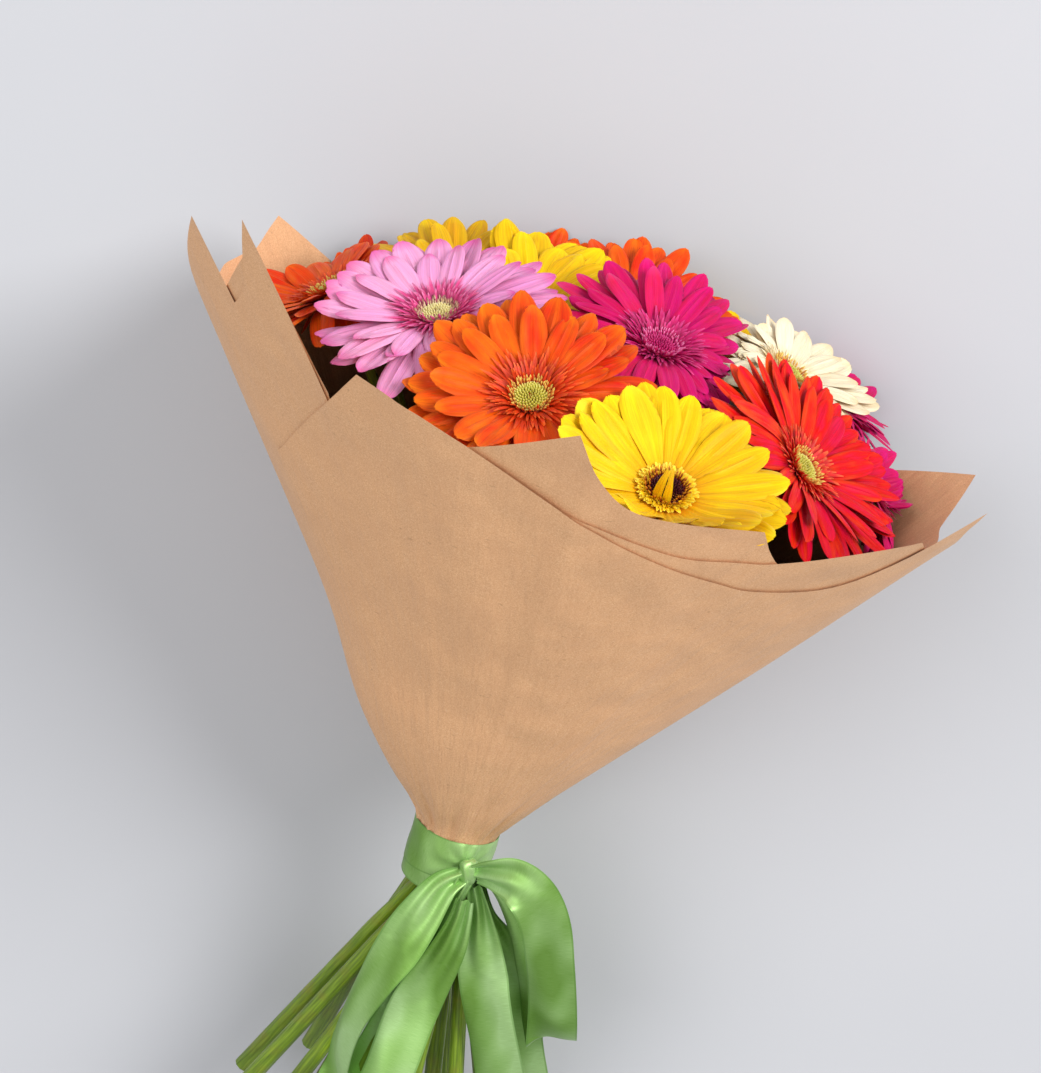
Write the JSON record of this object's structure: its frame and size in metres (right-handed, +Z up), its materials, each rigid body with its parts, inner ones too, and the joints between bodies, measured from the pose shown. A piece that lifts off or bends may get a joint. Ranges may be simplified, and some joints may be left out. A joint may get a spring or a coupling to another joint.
{
  "type": "gerbera bouquet",
  "caption": "Wrapped hand bouquet of daisy-like blooms in a kraft paper cone, tied with a satin ribbon bow, lying on its back on a surface.",
  "frame": {"origin": "middle of the footprint, on the surface the bouquet lies on", "axes": "+Z up, +Y from the stem ends toward the blooms, +X to the bouquet's right as seen from its front, which faces up"},
  "size_m": [0.3728, 0.472, 0.2974],
  "materials": {
    "disc_dark": "matte, rough",
    "disc_green": "matte, rough",
    "disc_pale": "matte, rough",
    "kraft_paper": "matte kraft",
    "petals_amber": "matte, velvety",
    "petals_cream": "matte, velvety",
    "petals_magenta": "matte, velvety",
    "petals_mustard": "matte, velvety",
    "petals_orange": "matte, velvety",
    "petals_pink": "matte, velvety",
    "petals_red": "matte, velvety",
    "petals_rust": "matte, velvety",
    "petals_vermilion": "matte, velvety",
    "petals_yellow": "matte, velvety",
    "ribbon_satin": "satin",
    "stem_green": "fresh, soft sheen"
  },
  "bodies": {
    "root": {"bloom_cream": "petals_cream", "bloom_magenta_back": "petals_magenta", "bloom_magenta_middle": "petals_magenta", "bloom_magenta_right": "petals_magenta", "bloom_mustard_left": "petals_mustard", "bloom_orange_back": "petals_amber", "bloom_orange_front": "petals_orange", "bloom_orange_left": "petals_vermilion", "bloom_orange_middle": "petals_vermilion", "bloom_pink": "petals_pink", "bloom_red_right": "petals_red", "bloom_rust_left": "petals_rust", "bloom_vermilion_back": "petals_vermilion", "bloom_yellow_back": "petals_yellow", "bloom_yellow_front": "petals_yellow", "bloom_yellow_middle": "petals_yellow", "disc_cream": "disc_green", "disc_mustard_left": "disc_green", "disc_orange_back": "disc_green", "disc_orange_front": "disc_green", "disc_orange_left": "disc_green", "disc_orange_middle": "disc_green", "disc_pink": "disc_pale", "disc_red_right": "disc_green", "disc_rust_left": "disc_dark", "disc_vermilion_back": "disc_green", "disc_yellow_back": "disc_dark", "disc_yellow_front": "disc_dark", "disc_yellow_middle": "disc_green", "paper_back": "kraft_paper", "paper_front": "kraft_paper", "paper_left": "kraft_paper", "paper_liner": "kraft_paper", "paper_right": "kraft_paper", "ribbon_band": "ribbon_satin", "ribbon_bow": "ribbon_satin", "ribbon_tail_1": "ribbon_satin", "ribbon_tail_2": "ribbon_satin", "ribbon_tail_3": "ribbon_satin", "stem_cream": "stem_green", "stem_magenta_back": "stem_green", "stem_magenta_middle": "stem_green", "stem_magenta_right": "stem_green", "stem_mustard_left": "stem_green", "stem_orange_back": "stem_green", "stem_orange_front": "stem_green", "stem_orange_left": "stem_green", "stem_orange_middle": "stem_green", "stem_pink": "stem_green", "stem_red_right": "stem_green", "stem_rust_left": "stem_green", "stem_vermilion_back": "stem_green", "stem_yellow_back": "stem_green", "stem_yellow_front": "stem_green", "stem_yellow_middle": "stem_green"}
  },
  "joints": []
}
